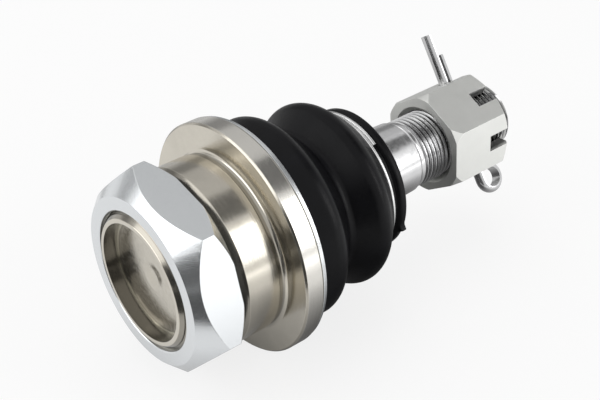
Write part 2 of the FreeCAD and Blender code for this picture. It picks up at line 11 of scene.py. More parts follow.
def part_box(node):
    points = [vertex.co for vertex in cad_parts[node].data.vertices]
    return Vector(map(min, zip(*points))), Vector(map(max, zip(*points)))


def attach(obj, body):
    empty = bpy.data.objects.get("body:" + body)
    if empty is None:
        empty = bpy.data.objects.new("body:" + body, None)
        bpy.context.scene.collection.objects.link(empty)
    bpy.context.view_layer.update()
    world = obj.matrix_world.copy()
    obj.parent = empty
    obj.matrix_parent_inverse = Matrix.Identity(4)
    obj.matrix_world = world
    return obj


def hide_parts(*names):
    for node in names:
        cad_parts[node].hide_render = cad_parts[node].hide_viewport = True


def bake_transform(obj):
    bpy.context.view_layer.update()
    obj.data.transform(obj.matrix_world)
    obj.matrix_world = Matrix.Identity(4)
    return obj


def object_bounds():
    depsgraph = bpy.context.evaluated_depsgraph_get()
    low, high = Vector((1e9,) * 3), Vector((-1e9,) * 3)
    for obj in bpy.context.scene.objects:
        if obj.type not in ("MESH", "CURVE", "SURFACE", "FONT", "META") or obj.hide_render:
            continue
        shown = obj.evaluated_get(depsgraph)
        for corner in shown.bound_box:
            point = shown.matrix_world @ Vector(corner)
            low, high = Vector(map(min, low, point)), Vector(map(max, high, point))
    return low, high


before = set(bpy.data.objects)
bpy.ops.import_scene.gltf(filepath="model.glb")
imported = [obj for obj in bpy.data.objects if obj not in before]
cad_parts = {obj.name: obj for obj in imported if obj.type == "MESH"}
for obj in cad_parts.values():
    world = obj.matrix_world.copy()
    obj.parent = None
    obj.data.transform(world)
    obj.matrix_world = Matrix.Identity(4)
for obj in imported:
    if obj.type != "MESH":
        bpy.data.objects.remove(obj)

bl_info = {
    "name": "Suspension ball joint",
    "version": (1, 0, 0),
    "blender": (4, 5, 0),
    "location": "3D View > Sidebar > Ball joint",
    "description": "Builds the visible pieces of a suspension ball joint on its packed solids",
    "category": "Object",
}

MM = 0.001
SOLIDS_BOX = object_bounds()
STUD_AXIS = Vector((1, 0, 0))

# Clearance round the cover plate and on both sides of the boot's foot
SIDE_GAP = 0.1 * MM

# Corners that lie nearer than this are one corner
WELD = 0.002 * MM


def low(node):
    """Smallest place along the stud axis that this solid reaches."""
    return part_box(node)[0][0]


def high(node):
    """Largest place along the stud axis that this solid reaches."""
    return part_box(node)[1][0]


def ring_radius(node):
    """Outer radius of a turned solid, from its width across the stud axis."""
    lowest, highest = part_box(node)
    return (highest[1] - lowest[1]) / 2


def length(label, words, value):
    """A length property in metres whose default is given in millimetres."""
    return FloatProperty(
        name=label, description=words, default=value * MM, unit="LENGTH", subtype="DISTANCE",
        precision=5)


def angle(label, words, degrees):
    """An angle property whose default is given in degrees."""
    return FloatProperty(
        name=label, description=words, default=math.radians(degrees), subtype="ANGLE")


def shade(label, words, value):
    """A colour property."""
    return FloatVectorProperty(
        name=label, description=words, default=value, size=3, min=0, max=1, subtype="COLOR")


# Sizes a user would change


class HousingSizes(bpy.types.PropertyGroup):
    """Turned forms of the housing, its cover and the rings behind its flange."""

    thread_radius: length("Thread radius", "Crest radius of the clamp thread", 18.95)
    thread_root: length("Thread root", "Root radius of the clamp thread", 18.05)
    end_chamfer: length("End chamfer", "Width of the chamfer on the threaded end", 1.9)
    pitch: length("Thread pitch", "Distance from one thread crest to the next", 1.5)
    relief_radius: length("Relief radius", "Radius of the groove behind the thread", 17.9)
    relief_width: length("Relief width", "Width of the groove behind the thread", 1.5)
    shoulder: length("Shoulder", "Place of the shoulder behind the thread", -9.7)
    barrel_radius: length("Barrel radius", "Radius of the barrel the arm slips over", 24.45)
    barrel_chamfer: length("Barrel chamfer", "Width of the barrel's lead-in chamfer", 2.4)
    barrel_end: length("Barrel end", "Place where the root groove begins", 1.7)
    groove_depth: length("Groove depth", "Depth of the root groove", 0.55)
    root_fillet: length("Root fillet", "Radius between the groove and the flange", 1.3)
    flange_front: length("Flange front", "Place of the flange's front face", 4.2)
    flange_thickness: length("Flange thickness", "Width of the flange's rim", 5.6)
    flange_chamfer: length("Flange chamfer", "Width of the chamfers on the flange's rim", 0.5)
    collar_radius: length("Collar radius", "Radius of the collar inside the boot", 23.8)
    bore_radius: length("Bore radius", "Radius of the bore that holds the bearing pack", 15.6)
    mouth_start: length("Mouth start", "Place of the step above the bearing pack", 8.0)
    mouth_small: length("Mouth, small", "Radius of the mouth at the bearing pack", 11.5)
    mouth_large: length("Mouth, large", "Radius of the mouth under the boot", 14.0)
    lip_radius: length("Lip radius", "Inner radius of the rolled lip over the cover", 15.95)
    rim_width: length("Rim width", "Width of the cover's raised rim", 0.9)
    rim_height: length("Rim height", "Height of the cover's raised rim", 0.45)
    dish_width: length("Dish width", "Width of the slope inside the cover's rim", 1.6)
    dimple_radius: length("Dimple radius", "Radius of the dimple in the cover", 3.6)
    dimple_depth: length("Dimple depth", "Depth of the dimple in the cover", 0.8)
    corner: length("Corner", "How far machined corners are eased", 0.12)


class StudSizes(bpy.types.PropertyGroup):
    """Forms of the ball stud."""

    ball_radius: length("Ball radius", "Radius of the ball", 13.0)
    neck_radius: length("Neck radius", "Radius of the neck above the ball", 6.8)
    neck_end: length("Neck end", "Place where the neck begins to widen", 18.5)
    flare_end: length("Flare end", "Place where the neck meets the journal", 29.0)
    journal_radius: length("Journal radius", "Radius of the journal inside the boot", 11.3)
    journal_end: length("Journal end", "Place where the taper begins", 44.0)
    taper_radius: length("Taper radius", "Radius of the taper's small end", 10.5)
    taper_end: length("Taper end", "Place where the taper stops", 63.6)
    relief_radius: length("Relief radius", "Radius of the groove before the thread", 9.65)
    relief_width: length("Relief width", "Width of the groove before the thread", 0.8)
    relief_chamfer: length("Relief chamfer", "Width of the groove's sloping sides", 0.25)
    thread_radius: length("Thread radius", "Crest radius of the stud thread", 10.0)
    thread_root: length("Thread root", "Root radius of the stud thread", 9.15)
    pitch: length("Thread pitch", "Distance from one thread crest to the next", 1.5)
    plain_band: length("Plain band", "Plain width before the thread begins", 1.3)
    end_chamfer: length("End chamfer", "Width of the chamfer on the stud's end", 1.3)
    hole_radius: length("Hole radius", "Radius of the cotter pin's cross hole", 2.5)
    hole_place: length("Hole place", "Place of the cross hole along the stud", 90.35)
    turn: angle("Turn", "Turn of the cross hole about the stud axis", -35.3)


class BootSizes(bpy.types.PropertyGroup):
    """Section of the rubber boot and its wire ring."""

    wall: length("Wall", "Thickness of the rubber", 1.9)
    foot_wall: length("Foot wall", "Thickness of the foot on the collar", 2.7)
    foot_end: length("Foot end", "Place where the foot ends", 13.05)
    crown_one: length("First bellow", "Radius of the bellow beside the flange", 28.25)
    crown_one_start: length("First bellow start", "Place where its crown begins", 18.0)
    crown_one_end: length("First bellow end", "Place where its crown ends", 20.6)
    waist: length("Waist", "Radius of the valley between the bellows", 20.8)
    waist_place: length("Waist place", "Place of the valley between the bellows", 28.6)
    waist_wall: length("Waist wall", "Thickness of the rubber at the waist", 2.5)
    crown_two: length("Second bellow", "Radius of the bellow beside the lip", 26.15)
    crown_two_start: length("Second bellow start", "Place where its crown begins", 34.9)
    crown_two_end: length("Second bellow end", "Place where its crown ends", 37.8)
    groove: length("Groove radius", "Radius of the wire ring's groove", 19.3)
    groove_start: length("Groove start", "Place where the groove begins", 43.1)
    groove_width: length("Groove width", "Width of the groove", 2.8)
    disc: length("Lip radius", "Radius of the lip's disc", 20.4)
    disc_start: length("Lip start", "Place where the lip's disc begins", 46.6)
    disc_end: length("Lip end", "Place of the lip's outer face", 48.6)
    tip: length("Tip radius", "Radius of the lip's tip", 17.0)
    valley: length("Valley", "Half the width of the rounded valley", 0.9)
    sag: length("Sag", "How far the second bellow hangs down", 0.3)
    flash: length("Flash", "How far the tab of moulding flash stands off the lip", 1.3)
    wire_radius: length("Wire radius", "Radius of the ring's wire", 0.62)
    wire_pitch: length("Wire pitch", "Distance between the ring's two turns", 1.26)
    wire_start: angle("Wire start", "Where the wire's first end lies, about the stud axis", 189)


class FinishColours(bpy.types.PropertyGroup):
    """Base colours of the finishes."""

    nickel: shade("Nickel", "Warm nickel plate of the housing", (0.60, 0.566, 0.495))
    rim: shade("Flange rim", "Paler nickel of the freshly cut rim", (0.72, 0.70, 0.655))
    zinc: shade("Bright zinc", "Bluish zinc plate of the clamp nut", (0.71, 0.73, 0.745))
    satin: shade("Satin zinc", "Grey zinc plate of the castle nut", (0.76, 0.765, 0.74))
    steel: shade("Stud steel", "Machined steel of the stud", (0.68, 0.68, 0.685))
    wire: shade("Wire", "Bright spring wire", (0.78, 0.78, 0.78))
    rubber: shade("Rubber", "Black rubber of the boot", (0.004, 0.004, 0.005))
    # Cover rim colour is a painted highlight: pale and yellowish, standing in for the bright line of light
    # along the rim's edge
    cover_rim_highlight: shade("Cover rim", "Polished nickel of the cover's raised rim", (0.95, 0.92, 0.80))
    bearing: shade("Bearing plastic", "Pale plastic of the bearing seats", (0.82, 0.80, 0.74))
    bush: shade("Bush plastic", "Black plastic of the boot's bush", (0.03, 0.03, 0.032))


class BallJointSettings(bpy.types.PropertyGroup):
    """All settings of the ball joint."""

    housing: PointerProperty(type=HousingSizes)
    stud: PointerProperty(type=StudSizes)
    boot: PointerProperty(type=BootSizes)
    colours: PointerProperty(type=FinishColours)
    segments: IntProperty(
        name="Segments", description="Steps round a turned piece", default=160, min=24, max=256)


def settings():
    return bpy.context.scene.ball_joint


# Mesh helpers


def placed(mesh, name):
    """Turns a bmesh into an object of the scene."""
    data = bpy.data.meshes.new(name)
    mesh.to_mesh(data)
    mesh.free()
    item = bpy.data.objects.new(name, data)
    bpy.context.scene.collection.objects.link(item)
    return item


def finished(mesh, name, finish, body, nodes, corner=32, even=True):
    """Turns a bmesh into a piece that rides on a body and stands for these solids."""
    piece = placed(mesh, name)
    piece.data.shade_smooth()
    piece.data.set_sharp_from_angle(angle=math.radians(corner))
    piece.data.materials.append(finish_named(finish))
    if body:
        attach(piece, body)
    if nodes:
        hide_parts(*nodes)
    if even:
        shade_evenly(piece)
    return piece


def shade_evenly(piece):
    """Keeps large faces flat or straight in the light right up to their eased edges."""
    weighted = piece.modifiers.new("EvenShading", "WEIGHTED_NORMAL")
    weighted.mode = "FACE_AREA"
    weighted.weight = 90
    weighted.keep_sharp = True


def gentle(share):
    """Share from zero to one that starts and ends gently."""
    share = min(1, max(0, share))
    return share * share * (3 - 2 * share)


def draw_line(mesh, points, closed):
    """Adds a chain of (place, radius) points in the plane through the stud axis."""
    corners = [mesh.verts.new((place, 0, radius)) for place, radius in points]
    sides = [mesh.edges.new(pair) for pair in zip(corners, corners[1:])]
    if closed:
        sides.append(mesh.edges.new((corners[-1], corners[0])))
    return corners, sides


def swept(mesh, geometry, turn, steps, advance=0.0, merge=False):
    """Spins geometry about the stud axis and moves it along by advance at each step."""
    return bmesh.ops.spin(
        mesh, geom=geometry, cent=(0, 0, 0), axis=STUD_AXIS, dvec=STUD_AXIS * advance,
        angle=turn, steps=steps, use_merge=merge, use_normal_flip=False, use_duplicate=False)


def ease(mesh, edges, reach, steps):
    """Rounds edges off, over this reach to each side."""
    bmesh.ops.bevel(
        mesh, geom=edges, offset=reach, offset_type="OFFSET", affect="EDGES", segments=steps,
        profile=0.5, clamp_overlap=True, material=-1)


def soften(mesh, reach, least=25, steps=2):
    """Eases the edges that turn by more than the least angle."""
    sharp = [edge for edge in mesh.edges
             if edge.is_manifold and edge.calc_face_angle() > math.radians(least)]
    ease(mesh, sharp, reach, steps)


def turned(points, softness=0.12 * MM, closed=True, arcs=()):
    """Bmesh of a turned form, from the outline of its section, with its corners eased.

    arcs names the corners that are rounded first: (place, radius, length of each side, steps).
    """
    mesh = bmesh.new()
    corners, sides = draw_line(mesh, points, closed)
    swept(mesh, corners + sides, 2 * math.pi, settings().segments, merge=True)
    bmesh.ops.remove_doubles(mesh, verts=mesh.verts, dist=WELD)
    bmesh.ops.recalc_face_normals(mesh, faces=mesh.faces)
    for place, radius, reach, steps in arcs:
        round_ring(mesh, place, radius, reach, steps)
    if softness:
        soften(mesh, softness)
    return mesh


def round_ring(mesh, place, radius, reach, steps):
    """Rounds the ring of edges at this place and radius."""
    near = 0.01 * MM

    def on_ring(corner):
        off = math.hypot(corner.co.y, corner.co.z) - radius
        return abs(corner.co.x - place) < near and abs(off) < near

    ring = [edge for edge in mesh.edges if all(on_ring(corner) for corner in edge.verts)]
    if not ring:
        raise ValueError("no ring of edges at %.5f, radius %.5f" % (place, radius))
    ease(mesh, ring, reach, steps)


def threaded(start, end, root, crest, pitch, clip):
    """Bmesh of a helical thread along the stud axis. clip limits the radius at each place."""
    mesh = bmesh.new()
    turn_steps = 96
    deepest = root - 0.05 * MM
    tooth = [(0, root), (0.12, root), (0.44, crest), (0.56, crest), (0.88, root), (1, root)]
    corners, sides = draw_line(
        mesh, [(start + part * pitch, radius) for part, radius in tooth], closed=False)
    steps = int(((end - start) / pitch - 1) * turn_steps)
    swept(mesh, corners + sides, 2 * math.pi * steps / turn_steps, steps, pitch / turn_steps)
    bmesh.ops.remove_doubles(mesh, verts=mesh.verts, dist=WELD)
    for corner in mesh.verts:
        radius = math.hypot(corner.co.y, corner.co.z)
        wanted = max(min(radius, clip(corner.co.x)), deepest)
        corner.co.y *= wanted / radius
        corner.co.z *= wanted / radius
    bmesh.ops.recalc_face_normals(mesh, faces=mesh.faces)
    if sum(face.normal.dot(outward(face)) for face in mesh.faces) < 0:
        bmesh.ops.reverse_faces(mesh, faces=mesh.faces)
    return mesh


def trim(mesh, start, end):
    """Cuts a mesh off square at two places along the stud axis."""
    for place, way in ((start, -1), (end, 1)):
        bmesh.ops.bisect_plane(
            mesh, geom=mesh.verts[:] + mesh.edges[:] + mesh.faces[:], dist=WELD / 2,
            plane_co=STUD_AXIS * place, plane_no=STUD_AXIS * way, clear_outer=True,
            clear_inner=False)


def outward(face):
    """Direction away from the stud axis at a face."""
    middle = face.calc_center_median()
    return Vector((0, middle.y, middle.z)).normalized()


def make_nut(node, body, finish, reach):
    """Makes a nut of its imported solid: triangles joined into flat faces, edges eased."""
    flat_angle, eased_angle, edge_steps, sharp_angle = 0.6, 12, 3, 28
    mesh = bmesh.new()
    mesh.from_mesh(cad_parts[node].data)
    bmesh.ops.remove_doubles(mesh, verts=mesh.verts, dist=2 * WELD)
    bmesh.ops.dissolve_limit(
        mesh, angle_limit=math.radians(flat_angle), use_dissolve_boundaries=False,
        verts=mesh.verts, edges=mesh.edges, delimit=set())
    soften(mesh, reach, eased_angle, edge_steps)
    finished(mesh, node + "_body", finish, body, [node], sharp_angle)


# Materials


class Finish:
    """A node material that is built up one node at a time."""

    def __init__(self, name):
        self.material = bpy.data.materials.new(name)
        self.material.use_nodes = True
        self.nodes = self.material.node_tree.nodes
        self.links = self.material.node_tree.links
        self.shader = self.nodes["Principled BSDF"]

    def add(self, kind, **values):
        node = self.nodes.new(kind)
        for key, value in values.items():
            setattr(node, key, value)
        return node

    def join(self, source, target):
        self.links.new(source, target)

    def drive(self, name, source):
        """Joins a source to one of the shader's inputs."""
        self.join(source, self.shader.inputs[name])

    def set(self, **values):
        """Sets inputs of the shader, each named with underscores for spaces."""
        for key, value in values.items():
            self.shader.inputs[key.replace("_", " ")].default_value = value

    def place(self):
        """Object coordinates."""
        return self.add("ShaderNodeTexCoord").outputs["Object"]

    def radius(self):
        """Distance from the stud axis."""
        across = self.add("ShaderNodeVectorMath", operation="MULTIPLY")
        across.inputs[1].default_value = (0, 1, 1)
        self.join(self.place(), across.inputs[0])
        distance = self.add("ShaderNodeVectorMath", operation="LENGTH")
        self.join(across.outputs[0], distance.inputs[0])
        return distance.outputs["Value"]

    def along(self):
        """Place along the stud axis."""
        split = self.add("ShaderNodeSeparateXYZ")
        self.join(self.place(), split.inputs[0])
        return split.outputs["X"]

    def between(self, value, start, end, edge=0.08 * MM):
        """Share of one where the value lies from start to end."""
        return self.both(
            self.spread(value, 0, 1, start - edge, start + edge),
            self.spread(value, 1, 0, end - edge, end + edge))

    def lathe_place(self):
        """Coordinates that stay the same all the way round the stud axis: (place, radius, 0)."""
        split = self.add("ShaderNodeSeparateXYZ")
        self.join(self.place(), split.inputs[0])
        section = self.add("ShaderNodeCombineXYZ")
        self.join(split.outputs["X"], section.inputs["X"])
        self.join(self.radius(), section.inputs["Y"])
        return section.outputs[0]

    def noise(self, where, scale, detail=3.0, roughness=0.5):
        node = self.add("ShaderNodeTexNoise")
        node.inputs["Scale"].default_value = scale
        node.inputs["Detail"].default_value = detail
        node.inputs["Roughness"].default_value = roughness
        self.join(where, node.inputs["Vector"])
        return node.outputs["Fac"]

    def spread(self, value, lowest, highest, first=0.35, last=0.65):
        """Maps a value onto a range. Where no first and last are given, they suit noise."""
        node = self.add("ShaderNodeMapRange")
        node.inputs["From Min"].default_value = first
        node.inputs["From Max"].default_value = last
        node.inputs["To Min"].default_value = lowest
        node.inputs["To Max"].default_value = highest
        self.join(value, node.inputs["Value"])
        return node.outputs[0]

    def tint(self, value, dark, light):
        """Mixes two colours by a value."""
        node = self.add("ShaderNodeMix", data_type="RGBA")
        node.inputs["A"].default_value = (*dark, 1)
        node.inputs["B"].default_value = (*light, 1)
        self.join(value, node.inputs["Factor"])
        return node.outputs["Result"]

    def zone(self, plate, share, colour):
        """Lays another colour over the plate where the share is one."""
        layer = self.add("ShaderNodeMix", data_type="RGBA")
        layer.inputs["B"].default_value = (*colour, 1)
        self.join(share, layer.inputs["Factor"])
        self.join(plate, layer.inputs["A"])
        return layer.outputs["Result"]

    def both(self, one, other):
        """Product of two shares."""
        product = self.add("ShaderNodeMath", operation="MULTIPLY")
        self.join(one, product.inputs[0])
        self.join(other, product.inputs[1])
        return product.outputs[0]

    def bump(self, height, distance, under=None):
        """Normal of a relief of this height, laid over the normal under it."""
        node = self.add("ShaderNodeBump")
        node.inputs["Distance"].default_value = distance
        node.inputs["Strength"].default_value = 1.0
        self.join(height, node.inputs["Height"])
        if under:
            self.join(under, node.inputs["Normal"])
        return node.outputs["Normal"]


def scaled(colour, share):
    return tuple(part * share for part in colour)


# How fine the grain and the lathe rings of metal are
GRAIN_SCALE = 2600

# How far a zone reaches past the metal that it colours
PAST = 1 * MM


def turned_metal(name, colour, roughness, lathe_depth, grain_depth, mottle=0.93, zones=(),
                 cloud_scale=160, speck_scale=900, gloss_change=0.2):
    """Plated metal with fine lathe rings and a slight unevenness in colour and gloss.

    zones are functions that give a share from the finish, each with the colour laid there.
    """
    finish = Finish(name)
    where = finish.place()
    cloud = finish.noise(where, cloud_scale, 4)
    plate = finish.tint(finish.spread(cloud, 0, 1), scaled(colour, mottle), colour)
    for share, other in zones:
        plate = finish.zone(plate, share(finish), other)
    finish.drive("Base Color", plate)
    speck = finish.noise(where, speck_scale, 2)
    finish.drive("Roughness", finish.spread(
        speck, roughness * (1 - gloss_change), roughness * (1 + gloss_change)))
    under = None
    if lathe_depth:
        under = finish.bump(finish.noise(finish.lathe_place(), GRAIN_SCALE, 2), lathe_depth)
    grain = finish.noise(where, GRAIN_SCALE, 2)
    finish.drive("Normal", finish.bump(grain, grain_depth, under))
    finish.set(Metallic=1.0)
    return finish.material


def thread_root_shade(thread, floor):
    """Share that grows towards the root of a thread and is whole this far up from it: painted shade in the
    thread's roots.
    """
    return lambda finish: finish.spread(
        finish.radius(), 1, 0, thread.thread_root + floor, thread.thread_radius - 0.15 * MM)


def within(along=None, radius=None):
    """Share of what lies between two places along the stud axis, two radii, or both."""
    def share(finish):
        if along is None:
            return finish.between(finish.radius(), *radius)
        if radius is None:
            return finish.between(finish.along(), *along)
        return finish.both(
            finish.between(finish.along(), *along), finish.between(finish.radius(), *radius))
    return share


def end_cone_shade(size):
    """Share of the chamfer on the housing's threaded end, which is darkened with painted shade."""
    end, flat = low("housing"), size.thread_radius - size.end_chamfer
    return within(
        (end + 0.1 * MM, end + size.end_chamfer), (flat + 0.1 * MM, size.thread_radius + PAST))


def lip_bore_shade(size):
    """Share of the bore inside the rolled lip, which is darkened with painted shade for the recess."""
    return within(radius=(0, size.lip_radius + 0.1 * MM))


def lead_in_shade(size):
    """Share of the barrel's lead-in chamfer and the shoulder beside it, darkened with painted shade."""
    return within((size.shoulder - 0.2 * MM, size.shoulder + size.barrel_chamfer))


def root_groove_shade(size):
    """Share of the groove between the barrel and the flange, darkened with painted shade."""
    return within(
        (size.barrel_end + 0.35 * MM, size.flange_front - 0.5 * MM),
        (size.bore_radius, size.barrel_radius + 0.2 * MM))


def flange_rim():
    """Share of the flange's rim."""
    rim = ring_radius("housing")
    return within(radius=(rim - 0.12 * MM, rim + PAST))


def flange_edge_shade(size):
    """Share of the chamfer on the flange's front edge, darkened with painted shade that dims its highlight.
    """
    rim, front = ring_radius("housing"), size.flange_front
    return within((front, front + size.flange_chamfer), (rim - size.flange_chamfer, rim + PAST))


def nut_rear_shade():
    """Share of the clamp nut's rear face, darkened with painted shade where it sits against the housing."""
    rear = high("clamp_nut")
    return within((rear - 0.1 * MM, rear + PAST))


def slot_wall_shade():
    """Share of the castle nut's slots and bore, darkened with painted shade."""
    near, far = low("castle_nut"), high("castle_nut")
    return within((near + 0.6 * (far - near), far - 0.25 * MM), (0, 12.8 * MM, 0.5 * MM))


def cover_rim_highlight(size):
    """Share of the cover's raised rim, where a pale painted highlight is laid over the nickel."""
    rim = ring_radius("cover_plate") - size.rim_width
    return within(radius=(rim - 0.25 * MM, rim + 2 * PAST))


def moulded_rubber(name, colour):
    """Black rubber with a soft sheen, faint mould lines and dust in the grain."""
    finish = Finish(name)
    where = finish.place()
    cloud = finish.spread(finish.noise(where, 120, 4), 0, 1)
    finish.drive("Base Color", finish.tint(cloud, scaled(colour, 0.8), scaled(colour, 1.3)))
    speck = finish.noise(where, 1400, 3)
    finish.drive("Roughness", finish.spread(speck, 0.30, 0.38))
    rings = finish.bump(finish.noise(finish.lathe_place(), 420, 2), 0.03 * MM)
    finish.drive("Normal", finish.bump(speck, 0.02 * MM, rings))
    finish.set(Metallic=0.0, Specular_IOR_Level=0.13)
    return finish.material


def plain_plastic(name, colour, roughness):
    """Moulded plastic with a faint grain."""
    finish = Finish(name)
    where = finish.place()
    cloud = finish.spread(finish.noise(where, 200, 3), 0, 1)
    finish.drive("Base Color", finish.tint(cloud, scaled(colour, 0.92), colour))
    finish.drive("Normal", finish.bump(finish.noise(where, 1800, 2), 0.02 * MM))
    finish.set(Roughness=roughness)
    return finish.material


FINISHES = {}


def finish_named(name):
    """Makes each finish once."""
    if name not in FINISHES:
        colours, size, stud = settings().colours, settings().housing, settings().stud
        nickel, zinc, satin, steel = colours.nickel, colours.zinc, colours.satin, colours.steel
        makers = {
            "nickel": lambda: turned_metal(
                "warm_nickel_painted_shade", nickel, 0.19, 0.012 * MM, 0.005 * MM, gloss_change=0.07,
                # The rim zone is the rim's own paler nickel; the other zones are painted shade that darkens
                # the chamfers, bore and groove.
                zones=((flange_rim(), colours.rim), (flange_edge_shade(size), scaled(nickel, 0.7)),
                       (lip_bore_shade(size), scaled(nickel, 0.34)),
                       (end_cone_shade(size), scaled(nickel, 0.5)),
                       (lead_in_shade(size), scaled(nickel, 0.42)),
                       (root_groove_shade(size), scaled(nickel, 0.6)))),
            "cover": lambda: turned_metal(
                "cover_nickel_painted_highlight", scaled(nickel, 0.92), 0.22, 0.008 * MM, 0.006 * MM,
                # The rim zone is a painted highlight.
                zones=((cover_rim_highlight(size), colours.cover_rim_highlight),)),
            "zinc": lambda: turned_metal(
                "bright_zinc_painted_shade", zinc, 0.24, 0.0, 0.006 * MM, 0.96,
                # The nut's rear face is darkened with painted shade.
                zones=((nut_rear_shade(), scaled(zinc, 0.3)),),
                cloud_scale=2800, speck_scale=2800, gloss_change=0.12),
            "satin": lambda: turned_metal(
                "satin_zinc_painted_shade", satin, 0.42, 0.0, 0.002 * MM, 0.97,
                # The slots and bore are darkened with painted shade.
                zones=((slot_wall_shade(), scaled(satin, 0.22)),), gloss_change=0.05),
            "steel": lambda: turned_metal("stud_steel", steel, 0.2, 0.006 * MM, 0.003 * MM),
            "pin": lambda: turned_metal(
                "pin_steel", scaled(steel, 0.82), 0.2, 0.0, 0.002 * MM, gloss_change=0.05),
            "nickel_thread_painted_shade": lambda: turned_metal(
                "nickel_thread_painted_shade", nickel, 0.22, 0.0, 0.006 * MM,
                # Painted shade darkens the thread roots and the end chamfer.
                zones=((thread_root_shade(size, 0.05 * MM), scaled(nickel, 0.16)),
                       (end_cone_shade(size), scaled(nickel, 0.5)))),
            "steel_thread_painted_shade": lambda: turned_metal(
                "steel_thread_painted_shade", steel, 0.22, 0.0, 0.006 * MM,
                # Painted shade darkens the thread roots.
                zones=((thread_root_shade(stud, 0.1 * MM), scaled(steel, 0.16)),)),
            "wire": lambda: turned_metal("spring_wire", colours.wire, 0.2, 0.0, 0.004 * MM),
            "dark_steel": lambda: turned_metal(
                "dark_steel", scaled(steel, 0.55), 0.35, 0.01 * MM, 0.006 * MM),
            "rubber": lambda: moulded_rubber("boot_rubber", colours.rubber),
            "pale_plastic": lambda: plain_plastic("bearing_plastic", colours.bearing, 0.4),
            "black_plastic": lambda: plain_plastic("bush_plastic", colours.bush, 0.45),
        }
        FINISHES[name] = makers[name]()
    return FINISHES[name]


def dress(node, name):
    """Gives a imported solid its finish."""
    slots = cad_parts[node].data.materials
    slots.clear()
    slots.append(finish_named(name))


# Operators


class MakeHousing(bpy.types.Operator):
    """Turn the housing with its barrel, flange and rolled lip, and cut the clamp thread"""

    bl_idname = "balljoint.housing"
    bl_label = "Housing"

    def execute(self, context):
        size = settings().housing
        end, collar_end = low("housing"), high("housing")
        cover, seal_end = low("cover_plate"), high("cover_seal")
        cover_radius = ring_radius("cover_plate") + SIDE_GAP
        flange_rear = size.flange_front + size.flange_thickness
        flange_radius = ring_radius("housing")
        thread_start = end + size.end_chamfer - (size.thread_radius - size.thread_root)
        thread_end = size.shoulder - size.relief_width
        groove = size.barrel_radius - size.groove_depth
        root_corner = (size.flange_front, groove)
        profile = [
            (cover, size.lip_radius),
            (end, size.lip_radius),
            (end, size.thread_radius - size.end_chamfer),
            (thread_start, size.thread_root),
            (thread_end, size.thread_root),
            (thread_end + 0.1 * MM, size.relief_radius),
            (size.shoulder, size.relief_radius),
            (size.shoulder, size.barrel_radius - size.barrel_chamfer),
            (size.shoulder + size.barrel_chamfer, size.barrel_radius),
            (size.barrel_end, size.barrel_radius),
            (size.barrel_end + size.groove_depth, groove),
            root_corner,
            (size.flange_front, flange_radius - size.flange_chamfer),
            (size.flange_front + size.flange_chamfer, flange_radius),
            (flange_rear - size.flange_chamfer, flange_radius),
            (flange_rear, flange_radius - size.flange_chamfer),
            (flange_rear, size.collar_radius),
            (collar_end, size.collar_radius),
            (collar_end, size.mouth_large),
            (size.mouth_start, size.mouth_small),
            (size.mouth_start, size.bore_radius),
            (seal_end, size.bore_radius),
            (seal_end, cover_radius),
            (cover, cover_radius),
        ]
        body = turned(profile, size.corner, arcs=[(*root_corner, size.root_fillet, 8)])
        finished(body, "housing_body", "nickel", "housing", ["housing"])

        def thread_clip(place):
            entry = size.thread_radius - size.end_chamfer + place - end
            leaving = size.relief_radius + 1.5 * (thread_end - place)
            return min(entry, leaving, size.thread_radius)

        thread = threaded(
            end - 0.5 * size.pitch, thread_end + 0.5 * size.pitch, size.thread_root,
            size.thread_radius, size.pitch, thread_clip)
        trim(thread, thread_start, thread_end)
        finished(thread, "housing_thread", "nickel_thread_painted_shade", "housing", [], 60)
        return {"FINISHED"}


class MakeCover(bpy.types.Operator):
    """Turn the cover plate with its raised rim and centre dimple"""

    bl_idname = "balljoint.cover"
    bl_label = "Cover plate"

    def execute(self, context):
        size = settings().housing
        front, back = low("cover_plate"), high("cover_plate")
        outer = ring_radius("cover_plate")
        rim = outer - size.rim_width
        sunk = front + size.rim_height
        dish = (sunk, rim - size.dish_width)
        dimple = (sunk, size.dimple_radius)
        dimple_floor = (sunk + 0.75 * size.dimple_depth, 0.25 * size.dimple_radius)
        profile = [
            (back, 0),
            (back, outer),
            (front, outer),
            (front, rim),
            dish,
            dimple,
            dimple_floor,
            (dimple_floor[0], 0),
        ]
        mesh = turned(
            profile, 0.1 * MM, closed=False,
            arcs=[(*dish, 0.7 * MM, 5), (*dimple, 1.1 * MM, 7), (*dimple_floor, 0.8 * MM, 6)])
        finished(mesh, "cover_disc", "cover", "housing", ["cover_plate"])
        return {"FINISHED"}


class MakeClampNut(bpy.types.Operator):
    """Ease the edges of the clamp nut"""

    bl_idname = "balljoint.clamp_nut"
    bl_label = "Clamp nut"

    def execute(self, context):
        make_nut("clamp_nut", "clamp_nut", "zinc", 0.22 * MM)
        return {"FINISHED"}


class MakeRings(bpy.types.Operator):
    """Turn the two sheet steel rings at the foot of the boot"""

    bl_idname = "balljoint.rings"
    bl_label = "Foot rings"

    def execute(self, context):
        size, rubber = settings().housing, settings().boot
        front, back = low("boot_support_ring"), high("boot_support_ring")
        outer = ring_radius("boot_support_ring")
        inner = size.collar_radius + SIDE_GAP
        edge = 0.14 * MM
        flat_ring = [(front, inner), (front, outer), (back, outer), (back, inner)]
        finished(
            turned(flat_ring, edge), "support_ring", "zinc", "housing", ["boot_support_ring"])
        sheet = back - front
        front, back = low("boot_retaining_ring"), high("boot_retaining_ring")
        outer = ring_radius("boot_retaining_ring")
        inner += rubber.foot_wall + SIDE_GAP
        bend = (front + sheet, inner + sheet)
        sleeve_ring = [
            (front, inner),
            (front, outer),
            (front + sheet, outer),
            bend,
            (back, inner + sheet),
            (back, inner),
        ]
        mesh = turned(sleeve_ring, edge, arcs=[(*bend, 0.4 * MM, 4)])
        finished(mesh, "retaining_ring", "zinc", "housing", ["boot_retaining_ring"])
        return {"FINISHED"}


